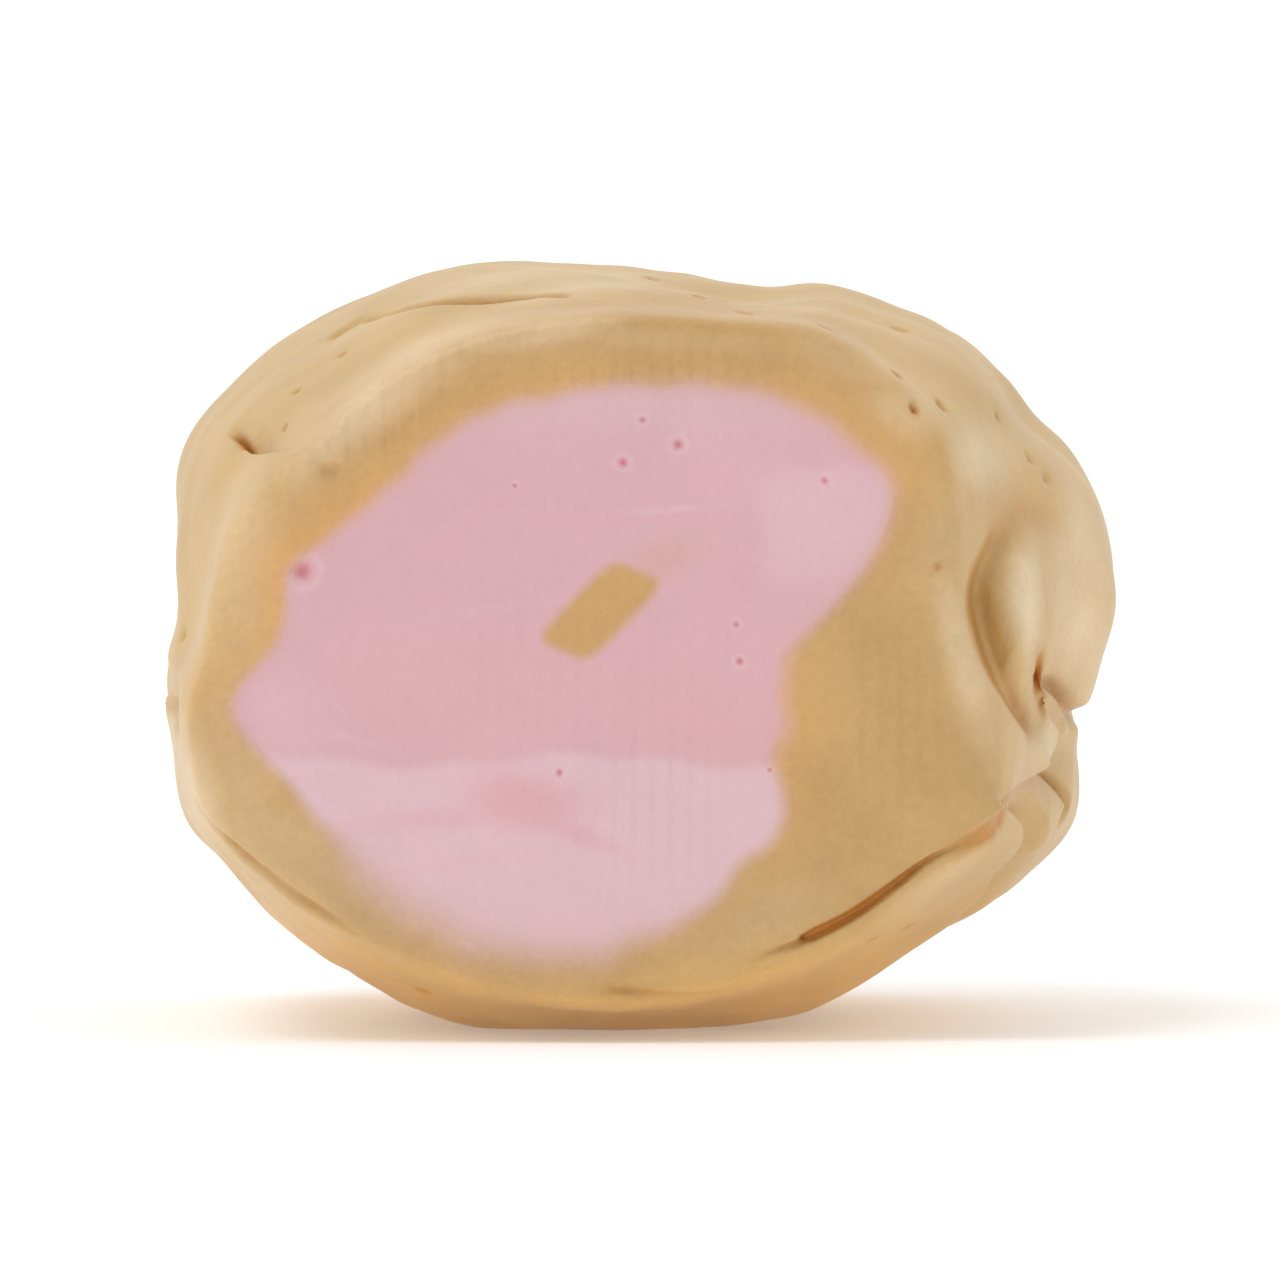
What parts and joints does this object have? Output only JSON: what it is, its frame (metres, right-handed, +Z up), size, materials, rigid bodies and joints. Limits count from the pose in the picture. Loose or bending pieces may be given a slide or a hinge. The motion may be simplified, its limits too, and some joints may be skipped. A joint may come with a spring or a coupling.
{
  "type": "taffy",
  "caption": "Cut piece of soft pulled taffy: a folded caramel outer layer wrapped round a pink filling with a small core, showing at both cut ends.",
  "frame": {"origin": "centre of the footprint, on the surface that the piece rests on", "axes": "+Z up, +X to the right seen from the front cut, the front cut looks along -Y"},
  "size_m": [0.0241, 0.022, 0.0192],
  "materials": {
    "caramel_taffy": "soft satin, slightly waxy",
    "pink_taffy": "soft satin cut face",
    "core_taffy": "soft satin cut face"
  },
  "bodies": {
    "root": {"outer_layer": "caramel_taffy", "filling": "pink_taffy", "core": "core_taffy"}
  },
  "joints": []
}
